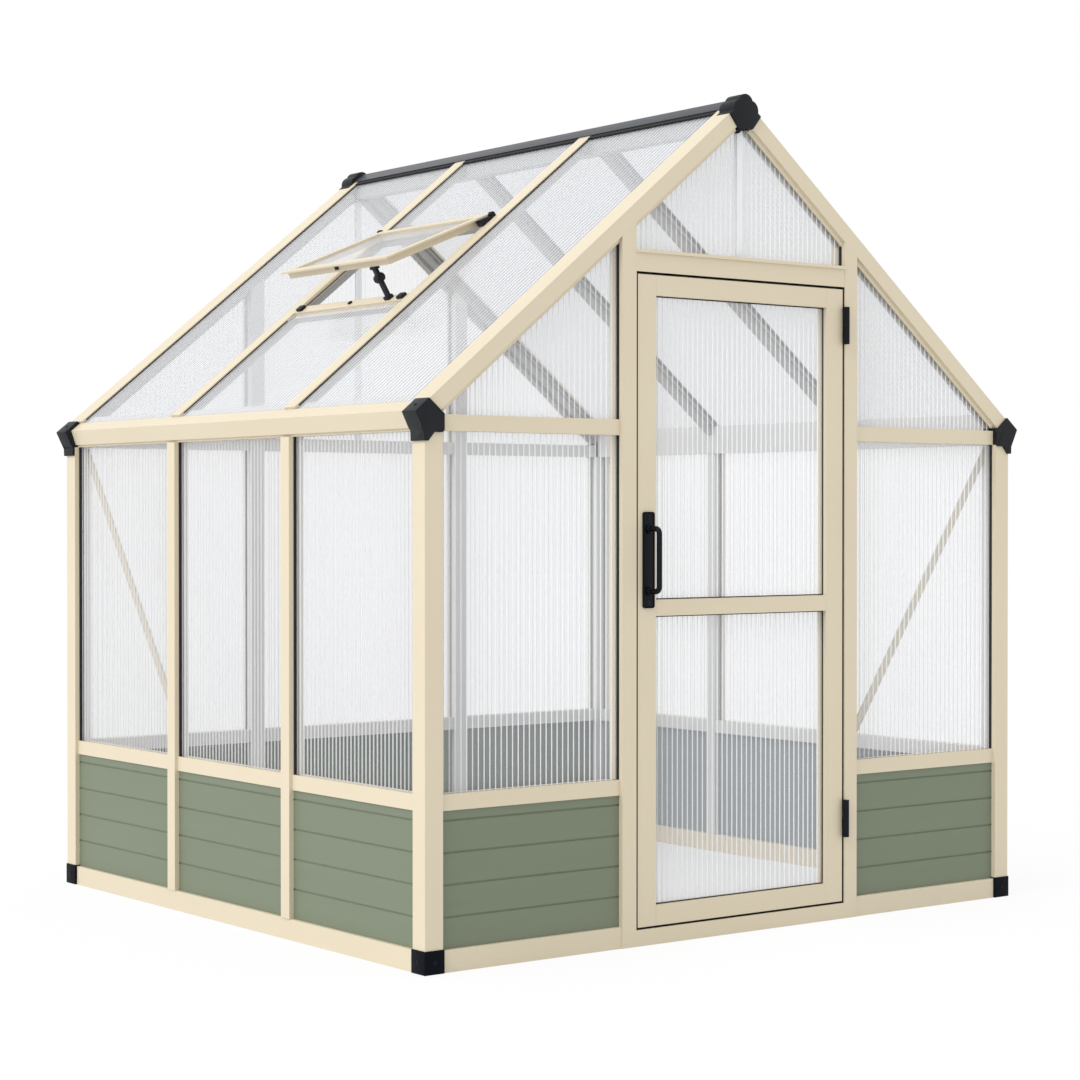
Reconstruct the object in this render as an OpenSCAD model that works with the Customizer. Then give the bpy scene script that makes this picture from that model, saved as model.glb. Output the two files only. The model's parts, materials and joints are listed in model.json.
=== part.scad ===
// Walk-in garden greenhouse: aluminium frame, fluted twin-wall sheets, boarded low walls and a
// gable roof with one open vent. Millimetres, +Z up. The origin is on the ground in the middle of
// the plan with the door's handle counted in, the door faces -Y, and "depth" in a wall is measured
// inward from its outer plane.

/* [House] */
// Width over the foot caps
house_w = 1950; // [1600:10:2600]
// Depth over the foot caps
house_d = 1800; // [1400:10:2800]
// Height of the wall frame, up to the underside of the eaves beams
eaves_h = 1240; // [1000:10:1700]
// Height of the roof's outer plane above the wall frame, at the side walls' outer planes
eaves_rise = 60; // [56:1:80]
// Pitch of both roof slopes in degrees
roof_pitch = 39; // [30:1:45]
// Number of bays in each side wall and roof slope
side_bays = 3; // [2:1:5]
// Height of the underside of the mid rails
mid_rail_z = 370; // [250:5:600]

/* [Frame profiles] */
// Side of the square corner posts
post_w = 50; // [44:1:60]
// Thickness of the foot caps' walls round the posts
foot_wall = 3; // [2:0.5:6]
// Height of the foot caps
foot_h = 55; // [40:1:80]
// Height of the base rails
base_h = 52; // [40:1:80]
// Depth of the base rails
base_d = 42; // [36:1:50]
// Height of the mid rails and cross rails
rail_h = 38; // [32:1:60]
// Depth of the mid rails and cross rails
rail_d = 32; // [28:1:40]
// Width of the side walls' mullions
mullion_w = 40; // [32:1:60]
// Depth of the side walls' mullions
mullion_d = 42; // [38:1:50]
// Width of the door jambs and of the back wall's mullions
jamb_w = 44; // [36:1:60]
// Thickness of the gable rafters, square to the slope
rafter_h = 40; // [34:1:46]
// Width of the gable rafters over their top flanges
rafter_w = 68; // [62:1:90]
// Width of the roof bars' top flanges
roof_bar_w = 48; // [46:1:80]
// Thickness of the roof bars, square to the slope
roof_bar_h = 34; // [28:1:50]

// Wall thickness of the hollow sections
wall = 2; // [1.5:0.25:3]

/* [Sheets and boards] */
// Thickness of the twin-wall sheets
sheet_t = 6; // [4:1:12]
// Thickness of the boards
board_t = 14; // [12:1:16]
// Height of one board
board_h = 74; // [50:1:100]
// Depth of the frame's grooves
groove_d = 10; // [8:1:12]

/* [Door] */
// Clear width between the jambs
doorway_w = 700; // [600:10:900]
// Distance from the header's top up to the rafters, at the jambs' outer faces
header_clear = 27; // [15:1:200]
// Height of the header's face
header_h = 46; // [36:1:70]
// Height of the threshold
threshold_h = 40; // [20:1:60]
// Gap round the door leaf
door_gap = 6; // [5:0.5:10]
// Thickness of the door leaf
door_t = 34; // [28:1:40]
// Width of the door's stiles
stile_w = 58; // [45:1:80]
// Height of the door's top and bottom rails
door_rail_h = 50; // [40:1:80]
// Height of the underside of the door's mid rail
door_mid_z = 801; // [500:5:1100]
// Height of the door's mid rail
door_mid_h = 40; // [30:1:60]
// Radius of the hinge barrels
barrel_r = 8; // [7:0.5:10]
// Height of one hinge
hinge_h = 96; // [70:1:120]
// Height of the handle's back plate
handle_plate_h = 234; // [180:1:280]
// Height of the handle's grip
handle_grip_h = 166; // [120:1:180]
// How far the handle stands out from the leaf
handle_reach = 50; // [40:1:70]

/* [Roof vent] */
// Distance from the apex to the vent's hinge rail, down the slope
vent_top = 396; // [250:1:450]
// Clear length of the vent opening, down the slope
vent_l = 328; // [250:1:450]
// Angle at which the vent stands open
vent_angle = 16.5; // [8:0.5:25]

/* [Hidden] */
$fn = 48;

cream = [0.90, 0.84, 0.72];
sage = [0.46, 0.54, 0.43];
black = [0.13, 0.14, 0.16];
slate = [0.33, 0.34, 0.37];
clear = [0.92, 0.94, 0.96, 0.6];

eps = 1;
foot_w = post_w + 2 * foot_wall;
half_w = house_w / 2;
half_d = house_d / 2;
cos_p = cos(roof_pitch);
sin_p = sin(roof_pitch);
tan_p = tan(roof_pitch);
ridge_z = eaves_h + eaves_rise + half_w * tan_p;

// Depths in a wall: faces of the posts, base rails, other rails and the sheets' inner plane
post_in = foot_wall;
post_back = post_in + post_w;
base_in = 6;
rail_in = 12;
sheet_back = 30;
foot_floor = 4;
// How far a sheet's edge enters its groove
lap = groove_d - 2;
// Clearance of a sheet's corner round a foot cap or a knuckle
notch_gap = 0.5;

// Knuckles and ridge end caps stand this far out of the gables
knuckle_front = 3;
// Door leaf's outer face
leaf_in = 6;
// Middle of the walls, from the middle of the plan that the handle and the back knuckles span
plan_y = (handle_reach - leaf_in - knuckle_front) / 2;
front_y = plan_y - half_d;
back_y = plan_y + half_d;

// Clear half widths between the corner posts
gable_clear = half_w - post_back;
side_clear = half_d - post_back;
side_bay = (2 * side_clear - (side_bays - 1) * mullion_w) / side_bays;
jamb_x = doorway_w / 2;
jamb_out = jamb_x + jamb_w;
mid_top = mid_rail_z + rail_h;

// Roof: depths below the roof's outer plane
cap_t = 6;
sheet_w = cap_t + sheet_t;
ledge_t = 4;
ledge_lap = 10;
web_w = 24;
edge_gap = 2;
// Play between pieces of the roof that bear on each other
fit = 0.1;
// Gap between a roof bar's end and the eaves beam
bar_gap = 0.8;
// Knuckles at the eaves and caps at the ridge, with the slopes' ends that butt on them
knuckle_d = post_back;
knuckle_proud = 4;
knuckle_l = 50;
knuckle_s = (half_w - 14) / cos_p;
spur_h = 24;
knuckle_inner = half_w - post_back - 1;
knuckle_top = slope_pt(knuckle_s, knuckle_proud);
ridge_cap_d = post_back;
rafter_s = 66;
slope_top = sheet_w * tan_p + 1.5;
lip_h = 10;
// Point of the knuckle where the rafter's lips would end
knuckle_seat = [knuckle_inner, slope_z(knuckle_inner, -rafter_h - lip_h)];
// Eaves beams
eaves_out = 8;
eaves_facet = 36;
beam_in = 50;
eaves_s = (half_w + eaves_out + cap_t * sin_p) / cos_p;
step_s = eaves_s - eaves_facet;
// Ridge
ridge_half = 26;
ridge_beam_h = 72;
ridge_cap_s = 38;
ridge_cap_t = 3;
// Lowest point of the ridge end caps below the apex, and the top of the sheets under it
end_cap_low = 76;
apex_top = ridge_z - end_cap_low - 1;

// Doorway: its head hangs under the rafters
header_flange = 8;
header_top = slope_z(jamb_out, -rafter_h) - header_clear;
doorway_h = header_top - header_flange - header_h;

// Door leaf and its hinge line
leaf_x = jamb_x - door_gap;
leaf_z0 = threshold_h + 5;
leaf_z1 = doorway_h - door_gap;
door_sheet_in = leaf_in + (door_t - sheet_t) / 2;
hinge_x = jamb_x - door_gap / 2;
hinge_depth = post_in - barrel_r - 0.5;
leaf_joint = 0.3;
pin_r = 3.5;
pin_gap = 0.05;
hinge_zs = [leaf_z0 + 168, leaf_z1 - 142];
handle_x = -(leaf_x - 32);
handle_z = door_mid_z + (door_mid_h + handle_plate_h) / 2;

// Roof vent
vent_bay = floor(side_bays / 2);
vent_rail_w = 24;
vent_sill_w = 30;
vent_s0 = vent_top + vent_rail_w;
vent_s1 = vent_s0 + vent_l;
vent_axis_s = vent_top + vent_rail_w / 2;
vent_axis_w = 8;
sash_l = vent_s1 + vent_sill_w / 2 - vent_axis_s;
sash_gap = 8;
sash_y0 = bar_y(vent_bay - 1) + roof_bar_w / 2 + sash_gap;
sash_y1 = bar_y(vent_bay) - roof_bar_w / 2 - sash_gap;
sash_rim = 30;
sash_inset = 14;
sash_wall = 10;
sash_depth = 18;
stay_y = sash_y0 + 72;
catch_w = 26;

// ---- Places ----

// Middle of the mullion and roof bar after bay i of a side, counted from the front, from plan_y
function bar_y(i) = -side_clear + (i + 1) * (side_bay + mullion_w) - mullion_w / 2;
// Front view of the right-hand slope: s runs down it from the apex, w out of its outer plane
function slope_pt(s, w) = [s * cos_p + w * sin_p, ridge_z - s * sin_p + w * cos_p];
// Height of the slope's plane at offset w, at a distance x from the middle
function slope_z(x, w) = ridge_z - x * tan_p + w / cos_p;

// Wall frames: x along the wall, y the depth into it, z up
module front_wall() { translate([0, front_y, 0]) children(); }
module back_wall() { translate([0, back_y, 0]) rotate([0, 0, 180]) children(); }
module left_wall() { translate([-half_w, plan_y, 0]) rotate([0, 0, -90]) children(); }
module right_wall() { mirror([1, 0, 0]) left_wall() children(); }

// Slope frames: x down the slope from the apex, y from the middle of the walls, z out of the roof
module right_slope() { translate([0, plan_y, ridge_z]) rotate([0, roof_pitch, 0]) children(); }
module left_slope() { mirror([1, 0, 0]) right_slope() children(); }

module left_and_right() {
    children();
    mirror([1, 0, 0]) children();
}

module front_and_back() {
    children();
    translate([0, 2 * plan_y, 0]) mirror([0, 1, 0]) children();
}

// Each corner of the plan, x and y running inward from the foot cap's outer corner
module at_corners() {
    left_and_right() front_and_back() translate([-half_w, front_y, 0]) children();
}

// ---- Shapes ----

// A box given by its low and high corners
module block(low, high) { translate(low) cube(high - low); }

// Extrudes a wall section, drawn as depth and height, along the wall from x0 to x1
module along_wall(x0, x1) {
    translate([x0, 0, 0]) rotate([90, 0, 90]) linear_extrude(x1 - x0) children();
}

// Extrudes a front view, drawn as x and z, from y0 to y1
module across(y0, y1) { translate([0, y1, 0]) rotate([90, 0, 0]) linear_extrude(y1 - y0) children(); }

// Section of a hollow rail with a groove for the boards or sheets above and below it
module rail_section(in, depth, z, height, over, under) {
    low = wall + (under ? groove_d : 0);
    high = wall + (over ? groove_d : 0);
    difference() {
        translate([in, z]) square([depth, height]);
        translate([in + wall, z + low]) square([depth - 2 * wall, height - low - high]);
        if (over) translate([sheet_back - board_t, z + height - groove_d]) square([board_t, groove_d + eps]);
        if (under) translate([sheet_back - board_t, z - eps]) square([board_t, groove_d + eps]);
    }
}

// Plan of a hollow upright between two bays, from x0, with a groove in each grooved side
module upright_section(x0, width, in, depth, low_side, high_side) {
    side = groove_d + wall;
    groove = [groove_d + eps, board_t];
    difference() {
        translate([x0, in]) square([width, depth]);
        translate([x0 + side, in + wall]) square([width - 2 * side, depth - 2 * wall]);
        if (low_side) translate([x0 - eps, sheet_back - board_t]) square(groove);
        if (high_side) translate([x0 + width - groove_d, sheet_back - board_t]) square(groove);
    }
}

// Plan of a hollow corner post, with a groove towards each of its two walls
module post_section() {
    difference() {
        translate([post_in, post_in]) square(post_w);
        translate([post_in + wall, post_in + wall]) square(post_w - groove_d - 2 * wall);
        translate([post_back - groove_d, sheet_back - board_t]) square([groove_d + eps, board_t]);
        translate([sheet_back - board_t, post_back - groove_d]) square([board_t, groove_d + eps]);
    }
}

// Boards of one bay: a shadow groove at each joint, over the bevelled edge of the board below
module board_panel(x0, x1) {
    joint = 3;
    bevel = 3;
    face = sheet_back - board_t;
    along_wall(x0 - lap, x1 + lap) difference() {
        translate([face, base_h - lap]) square([board_t, mid_rail_z - base_h + 2 * lap]);
        for (z = [base_h + board_h : board_h : mid_rail_z - board_h / 5]) polygon([
            [face - eps, z + joint / 2], [face + bevel, z + joint / 2],
            [face + bevel, z - joint / 2], [face, z - joint / 2 - bevel], [face - eps, z - joint / 2 - bevel]
        ]);
    }
}

// Flat sheet of one bay, lapped into the grooves round it
module wall_sheet(x0, x1, z0, z1) {
    block([x0 - lap, sheet_back - sheet_t, z0 - lap], [x1 + lap, sheet_back, z1 + lap]);
}

// What the sheets and boards leave free for the foot caps and knuckles
module corner_space() {
    at_corners() {
        cap = foot_w + notch_gap;
        translate([-eps, -eps, -eps]) cube([cap + eps, cap + eps, foot_h + notch_gap + eps]);
        translate([-eps, -eps, eaves_h - notch_gap])
            cube([post_back + 1 + notch_gap + eps, knuckle_d + notch_gap + eps, eaves_rise]);
    }
}

// Calls its children for each bay of a side wall, with the bay's ends as $x0 and $x1
module side_bay_ends() {
    for (i = [0 : side_bays - 1]) {
        $x0 = -side_clear + i * (side_bay + mullion_w);
        $x1 = $x0 + side_bay;
        children();
    }
}

// ---- Feet, posts and rails ----

module foot_caps() {
    color(black) at_corners() difference() {
        cube([foot_w, foot_w, foot_h]);
        translate([post_in, post_in, foot_floor]) cube([post_w, post_w, foot_h]);
    }
}

module corner_posts() {
    color(cream) at_corners()
        translate([0, 0, foot_floor]) linear_extrude(eaves_h - foot_floor) post_section();
}

module base_rails() {
    side = half_d - foot_w;
    gable = half_w - foot_w;
    color(cream) {
        left_and_right() left_wall() along_wall(-side, side)
            rail_section(base_in, base_d, 0, base_h, true, false);
        back_wall() along_wall(-gable, gable) rail_section(base_in, base_d, 0, base_h, true, false);
        left_and_right() front_wall() along_wall(jamb_out, gable)
            rail_section(base_in, base_d, 0, base_h, true, false);
    }
}

module door_threshold() {
    color(cream) front_wall() along_wall(-jamb_x, jamb_x)
        rail_section(post_in, post_w, 0, threshold_h, false, false);
}

module side_mullions() {
    color(cream) left_and_right() left_wall() translate([0, 0, base_h]) linear_extrude(eaves_h - base_h)
        for (i = [0 : side_bays - 2])
            upright_section(bar_y(i) - mullion_w / 2, mullion_w, post_in, mullion_d, true, true);
}

// An upright of the right half of a gable, cut off under the rafter, with its inner groove from z_in
module gable_upright(z0, z_in) {
    difference() {
        intersection() {
            translate([0, 0, z0]) linear_extrude(ridge_z - z0)
                upright_section(jamb_x, jamb_w, post_in, post_w, false, true);
            across(0, half_d) polygon([
                [0, z0], [half_w, z0],
                [half_w, slope_z(half_w, -rafter_h - fit)], [0, slope_z(0, -rafter_h - fit)]
            ]);
        }
        block([jamb_x - eps, sheet_back - board_t, z_in], [jamb_x + groove_d, sheet_back, ridge_z]);
    }
}

module back_mullions() { color(cream) back_wall() left_and_right() gable_upright(base_h, 0); }

module door_jambs() { color(cream) front_wall() left_and_right() gable_upright(0, header_top - groove_d); }

module door_header() {
    flange_out = 4;
    color(cream) front_wall() along_wall(-jamb_x, jamb_x) {
        rail_section(post_in + 1, post_w - 2, doorway_h, header_top - doorway_h, true, false);
        translate([post_in - flange_out, header_top - header_flange]) square([flange_out + 1, header_flange]);
    }
}

module side_mid_rails() {
    color(cream) left_and_right() left_wall() side_bay_ends()
        along_wall($x0, $x1) rail_section(rail_in, rail_d, mid_rail_z, rail_h, true, true);
}

module gable_mid_rails() {
    color(cream) {
        left_and_right() front_and_back() front_wall() along_wall(jamb_out, gable_clear)
            rail_section(rail_in, rail_d, mid_rail_z, rail_h, true, true);
        back_wall() along_wall(-jamb_x, jamb_x) rail_section(rail_in, rail_d, mid_rail_z, rail_h, true, true);
    }
}

module gable_cross_rails() {
    color(cream) {
        left_and_right() front_and_back() front_wall() along_wall(jamb_out, gable_clear - 1)
            rail_section(rail_in, rail_d, eaves_h, rail_h, true, true);
        back_wall() along_wall(-jamb_x, jamb_x) rail_section(rail_in, rail_d, eaves_h, rail_h, true, true);
    }
}

// Diagonal flat bars inside the left wall's rear bay and the front wall's right-hand bay
module wall_braces() {
    bar_h = 28;
    bar_t = 3;
    top_z = eaves_h - 40;
    foot_z = mid_top + 12;
    mullion_back = post_in + mullion_d;
    rear_x = -side_clear;
    rear_end = rear_x + side_bay + mullion_w / 2;
    color(cream) {
        left_wall() across(mullion_back, mullion_back + bar_t) polygon([
            [rear_x, top_z], [rear_x, top_z + bar_h], [rear_end, foot_z + bar_h], [rear_end, foot_z]
        ]);
        front_wall() across(mullion_back, mullion_back + bar_t) polygon([
            [gable_clear, top_z], [gable_clear, top_z + bar_h], [jamb_out, foot_z + bar_h], [jamb_out, foot_z]
        ]);
    }
}

// ---- Boards and wall sheets ----

module left_boards() {
    color(sage) difference() {
        left_wall() side_bay_ends() board_panel($x0, $x1);
        corner_space();
    }
}

module right_boards() { mirror([1, 0, 0]) left_boards(); }

module front_boards() {
    color(sage) difference() {
        front_wall() left_and_right() board_panel(jamb_out, gable_clear);
        corner_space();
    }
}

module back_boards() {
    color(sage) difference() {
        back_wall() {
            left_and_right() board_panel(jamb_out, gable_clear);
            board_panel(-jamb_x, jamb_x);
        }
        corner_space();
    }
}

module left_wall_sheets() {
    color(clear) difference() {
        left_wall() side_bay_ends() wall_sheet($x0, $x1, mid_top, eaves_h);
        corner_space();
    }
}

module right_wall_sheets() { mirror([1, 0, 0]) left_wall_sheets(); }

module front_wall_sheets() {
    color(clear) difference() {
        front_wall() left_and_right() wall_sheet(jamb_out, gable_clear, mid_top, eaves_h);
        corner_space();
    }
}

module back_wall_sheets() {
    color(clear) difference() {
        back_wall() {
            left_and_right() wall_sheet(jamb_out, gable_clear, mid_top, eaves_h);
            wall_sheet(-jamb_x, jamb_x, mid_top, eaves_h);
        }
        corner_space();
    }
}

// Right half of a gable's sheets above the cross rail, with the apex sheet standing on z_apex
module gable_half_sheets(z_apex) {
    top = -rafter_h - 2;
    outer = gable_clear - 3;
    z0 = eaves_h + rail_h - lap;
    strip_half = 3;
    apex_x = (slope_z(0, top) - apex_top) / tan_p;
    across(sheet_back - sheet_t, sheet_back) {
        polygon([
            [jamb_out - lap, z0], [outer, z0],
            [outer, slope_z(outer, top)], [jamb_out - lap, slope_z(jamb_out - lap, top)]
        ]);
        polygon([
            [strip_half, z_apex], [jamb_x + lap, z_apex],
            [jamb_x + lap, slope_z(jamb_x + lap, top)], [apex_x, apex_top], [strip_half, apex_top]
        ]);
    }
}

module front_gable_sheets() {
    color(clear) front_wall() left_and_right() gable_half_sheets(header_top - lap);
}

module back_gable_sheets() {
    color(clear) back_wall() left_and_right() gable_half_sheets(eaves_h + rail_h - lap);
}

// Joint strip between the two apex sheets: an H section in plan
module joint_strip(z0) {
    half = 9;
    wing = 3;
    web = 4;
    difference() {
        block([-half, sheet_back - sheet_t - wing, z0], [half, sheet_back + wing, apex_top]);
        for (x = [-half - eps, web / 2])
            block([x, sheet_back - sheet_t, z0 - eps],
                  [x + half - web / 2 + eps, sheet_back, apex_top + eps]);
    }
}

module gable_joint_strips() {
    color(clear) {
        front_wall() joint_strip(header_top);
        back_wall() joint_strip(eaves_h + rail_h);
    }
}

// ---- Eaves and roof frame ----

// Front view of the right-hand eaves beam, without its groove
module eaves_section() {
    inner_s = (half_w - beam_in + sheet_w * sin_p) / cos_p;
    polygon([
        slope_pt(eaves_s, -cap_t), slope_pt(step_s, -cap_t), slope_pt(step_s, -sheet_w),
        slope_pt(inner_s, -sheet_w), [half_w - beam_in, eaves_h],
        [half_w - rail_in, eaves_h], [half_w - rail_in, eaves_h + 6], [half_w - base_in, eaves_h + 6]
    ]);
}

module eaves_beams() {
    inner = half_w - beam_in + wall;
    floor_z = eaves_h + groove_d + wall;
    color(cream) left_and_right() across(front_y + knuckle_d, back_y - knuckle_d) difference() {
        eaves_section();
        translate([half_w - sheet_back, eaves_h - eps]) square([board_t, groove_d + eps]);
        polygon([
            [inner, floor_z], [half_w - base_in - wall, floor_z],
            slope_pt(eaves_s - 2 * wall, -cap_t - 2 * wall), slope_pt(step_s, -sheet_w - wall),
            [inner, slope_z(inner, -sheet_w - wall)]
        ]);
    }
}

// Corner knuckle: a five-sided socket block with a front plate that laps the post and a spur that
// wraps the post's top
module knuckle() {
    plate_lap = 4;
    round_r = 8;
    plate_z = eaves_h - plate_lap;
    outer = [knuckle_top, slope_pt(knuckle_s + knuckle_l, knuckle_proud), [half_w + 10, eaves_h + 8]];
    difference() {
        union() {
            across(post_in, knuckle_d)
                polygon(concat(outer, [[half_w + 4, eaves_h], [knuckle_inner, eaves_h], knuckle_seat]));
            across(-knuckle_front, post_in) {
                polygon(concat(outer, [
                    [half_w + 4, plate_z], [knuckle_inner + round_r, plate_z],
                    [knuckle_inner, plate_z + round_r], knuckle_seat
                ]));
                translate([knuckle_inner + round_r, plate_z + round_r]) circle(r = round_r);
            }
            across(-knuckle_front, post_back) polygon([
                [half_w + 4, eaves_h], [half_w + 3, eaves_h - spur_h],
                [half_w - 10, eaves_h - spur_h], [half_w - 30, eaves_h]
            ]);
        }
        block([half_w - post_back, post_in, eaves_h - spur_h - eps],
              [half_w - post_in, post_back + eps, eaves_h]);
    }
}

module eaves_knuckles() { color(black) left_and_right() front_and_back() front_wall() knuckle(); }

// Right-hand gable rafter of the front: a hollow section cut to seat on the knuckle, with a top flange,
// a ledge under the roof sheets and two lips that hold the gable's sheets
module gable_rafter() {
    lip_end = (ridge_z - (rafter_h + lip_h) * cos_p - eaves_h - rail_h) / sin_p - 12;
    seat_x = [fit, 0];
    ledge_s = ridge_half / cos_p + sheet_w * tan_p + ledge_t;
    difference() {
        right_slope() translate([0, -half_d, 0]) difference() {
            block([rafter_s, post_in, -rafter_h], [knuckle_s, post_back, 0]);
            block([rafter_s - eps, post_in + wall, wall - rafter_h],
                  [knuckle_s + eps, post_back - wall, -wall]);
        }
        front_wall() across(0, post_back + eps) polygon([
            knuckle_top - seat_x, knuckle_seat - seat_x, [knuckle_inner, eaves_h],
            [half_w + rafter_h, eaves_h], [half_w + rafter_h, knuckle_top[1]]
        ]);
    }
    right_slope() translate([0, -half_d, 0])
        block([slope_top, post_back, -cap_t], [step_s - bar_gap, post_in + rafter_w, 0]);
    difference() {
        right_slope() translate([0, -half_d, 0])
            block([ledge_s, post_back, -sheet_w - ledge_t], [step_s, post_back + ledge_lap, -sheet_w]);
        front_wall() across(post_back - eps, post_back + ledge_lap + eps) eaves_section();
    }
    difference() {
        right_slope() translate([0, -half_d, -rafter_h - lip_h]) {
            block([rafter_s, rail_in, 0], [lip_end, sheet_back - board_t, lip_h]);
            block([rafter_s, sheet_back, 0], [lip_end, sheet_back + 8, lip_h]);
        }
        front_wall() block([jamb_x, 0, 0], [jamb_out, half_d, ridge_z]);
    }
}

module gable_rafters() { color(cream) left_and_right() front_and_back() gable_rafter(); }

// Roof bar with a top flange, a web and a ledge on each side, centred on y
module roof_bar(y) {
    translate([0, y, 0]) {
        block([slope_top, -roof_bar_w / 2, -cap_t], [step_s - bar_gap, roof_bar_w / 2, 0]);
        block([slope_top, -web_w / 2 - ledge_lap, -sheet_w - ledge_t],
              [step_s, web_w / 2 + ledge_lap, -sheet_w]);
        block([slope_top, -web_w / 2, -roof_bar_h], [step_s, web_w / 2, -cap_t]);
    }
}

module roof_bars() {
    core = web_w / 2 - wall;
    color(cream) left_and_right() difference() {
        right_slope() for (i = [0 : side_bays - 2]) roof_bar(bar_y(i));
        right_slope() for (i = [0 : side_bays - 2])
            block([0, bar_y(i) - core, wall - roof_bar_h], [step_s + eps, bar_y(i) + core, -cap_t - wall]);
        across(front_y, back_y) {
            eaves_section();
            ridge_section();
        }
    }
}

// Front view of the ridge beam
module ridge_section() {
    top = slope_z(0, -sheet_w);
    polygon([
        [0, top], [ridge_half, top - ridge_half * tan_p], [ridge_half - 6, ridge_z - ridge_beam_h],
        [6 - ridge_half, ridge_z - ridge_beam_h], [-ridge_half, top - ridge_half * tan_p]
    ]);
}

module ridge_beam() {
    top = slope_z(0, -sheet_w - wall);
    side = ridge_half - wall;
    base = ridge_z - ridge_beam_h + wall;
    color(cream) across(front_y + ridge_cap_d, back_y - ridge_cap_d) difference() {
        ridge_section();
        polygon([
            [0, top], [side, top - side * tan_p], [side - 6, base],
            [6 - side, base], [-side, top - side * tan_p]
        ]);
    }
}

module ridge_cap() {
    edge = [slope_pt(ridge_cap_s, ridge_cap_t), slope_pt(ridge_cap_s, fit)];
    color(slate) across(front_y + ridge_cap_d, back_y - ridge_cap_d)
        polygon(concat([[0, slope_z(0, ridge_cap_t)]], edge, [[0, slope_z(0, fit)]], mirrored(edge)));
}

// Rubber strips that close the gap under the ridge cap's edges between the roof bars
module ridge_seals() {
    width = 16;
    color(black) left_and_right() right_slope() for (i = [0 : side_bays - 1]) {
        y0 = i == 0 ? post_in + rafter_w - half_d : bar_y(i - 1) + roof_bar_w / 2;
        y1 = i == side_bays - 1 ? half_d - post_in - rafter_w : bar_y(i) - roof_bar_w / 2;
        block([ridge_cap_s - 4, y0, -cap_t], [ridge_cap_s - 4 + width, y1, -0.2]);
    }
}

function mirrored(points) = [for (i = [len(points) - 1 : -1 : 0]) [-points[i][0], points[i][1]]];

// Cap on each end of the ridge: a dome between two bulges over the rafters' cut ends, and a pointed
// tongue in front of the gable's sheets
module ridge_end_caps() {
    dome_r = 24;
    bulge_r = 25;
    bulge_at = [17, -28];
    seat = [for (w = [1, -rafter_h - 1]) slope_pt(rafter_s, w) - [0, ridge_z]];
    half = concat(seat, [[21, -end_cap_low]]);
    color(black) front_and_back() translate([0, front_y, ridge_z]) {
        across(-knuckle_front, ridge_cap_d) {
            polygon(concat([[0, 0]], half, mirrored(half)));
            translate([0, -dome_r / 2]) circle(r = dome_r);
            left_and_right() translate(bulge_at) circle(r = bulge_r);
        }
        across(4, sheet_back - sheet_t - 4)
            polygon([[-2, -end_cap_low], [-20, -end_cap_low], [-17, -end_cap_low - 12]]);
    }
}

// ---- Roof sheets ----

// Sheet of bay i of the right-hand slope, from s0 to s1 down the slope
module roof_sheet(i, s0, s1) {
    side = edge_gap + web_w / 2;
    y0 = i == 0 ? -half_d + post_back + edge_gap : bar_y(i - 1) + side;
    y1 = i == side_bays - 1 ? half_d - post_back - edge_gap : bar_y(i) - side;
    block([s0, y0, fit - sheet_w], [s1, y1, -cap_t - fit]);
}

module right_roof_sheets() {
    color(clear) right_slope() for (i = [0 : side_bays - 1]) roof_sheet(i, slope_top, step_s - edge_gap / 2);
}

module left_roof_sheets() {
    color(clear) left_slope() for (i = [0 : side_bays - 1]) {
        if (i == vent_bay) {
            roof_sheet(i, slope_top, vent_top - edge_gap / 2);
            roof_sheet(i, vent_s1 + vent_sill_w + edge_gap / 2, step_s - edge_gap / 2);
        } else {
            roof_sheet(i, slope_top, step_s - edge_gap / 2);
        }
    }
}

// ---- Roof vent ----

// Hinge rail and sill across the vent's bay, each with a ledge under the sheet beside it
module vent_curb() {
    y0 = bar_y(vent_bay - 1) + web_w / 2;
    y1 = bar_y(vent_bay) - web_w / 2;
    color(cream) left_slope() difference() {
        union() {
            block([vent_top, y0, -roof_bar_h], [vent_s0, y1, 0]);
            block([vent_top - ledge_lap, y0, -sheet_w - ledge_t], [vent_top, y1, -sheet_w]);
            block([vent_s1, y0, -roof_bar_h], [vent_s1 + vent_sill_w, y1, -1]);
            block([vent_s1 + vent_sill_w, y0, -sheet_w - ledge_t],
                  [vent_s1 + vent_sill_w + ledge_lap, y1, -sheet_w]);
        }
        for (i = [vent_bay - 1, vent_bay]) roof_bar(bar_y(i));
    }
}

// The sash's own frame: x from the hinge line to the free edge, z out of the sash
module sash_frame() {
    left_slope() translate([vent_axis_s, 0, vent_axis_w]) rotate([0, -vent_angle, 0]) children();
}

// Rectangular ring in plan, drawn inset from the sash's outline
module sash_ring(inset, width) {
    difference() {
        translate([inset, sash_y0 + inset]) square([sash_l - 2 * inset, sash_y1 - sash_y0 - 2 * inset]);
        translate([inset + width, sash_y0 + inset + width])
            square([sash_l - 2 * (inset + width), sash_y1 - sash_y0 - 2 * (inset + width)]);
    }
}

// Hinge at each end of the sash's upper edge: a barrel on a wedge-shaped foot
module vent_hinges() {
    hinge_r = 7;
    foot_l = 46;
    foot_in = 8;
    low = vent_axis_w - 3;
    color(black) left_slope() for (side = [0, 1])
        translate([vent_axis_s, side ? sash_y1 : sash_y0, 0]) mirror([0, side, 0]) {
            translate([0, -0.5, vent_axis_w]) rotate([90, 0, 0]) cylinder(r = hinge_r, h = 13);
            across(-13.5, foot_in) polygon([
                [-hinge_r, fit], [foot_l, fit], [foot_l, low + foot_l * tan(vent_angle)],
                [0, low], [-hinge_r, low]
            ]);
        }
}

module vent_sash() {
    color(cream) sash_frame() {
        translate([0, 0, -2]) linear_extrude(5) sash_ring(0, sash_rim);
        translate([0, 0, -2 - sash_depth]) linear_extrude(sash_depth) sash_ring(sash_inset, sash_wall);
    }
}

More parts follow.
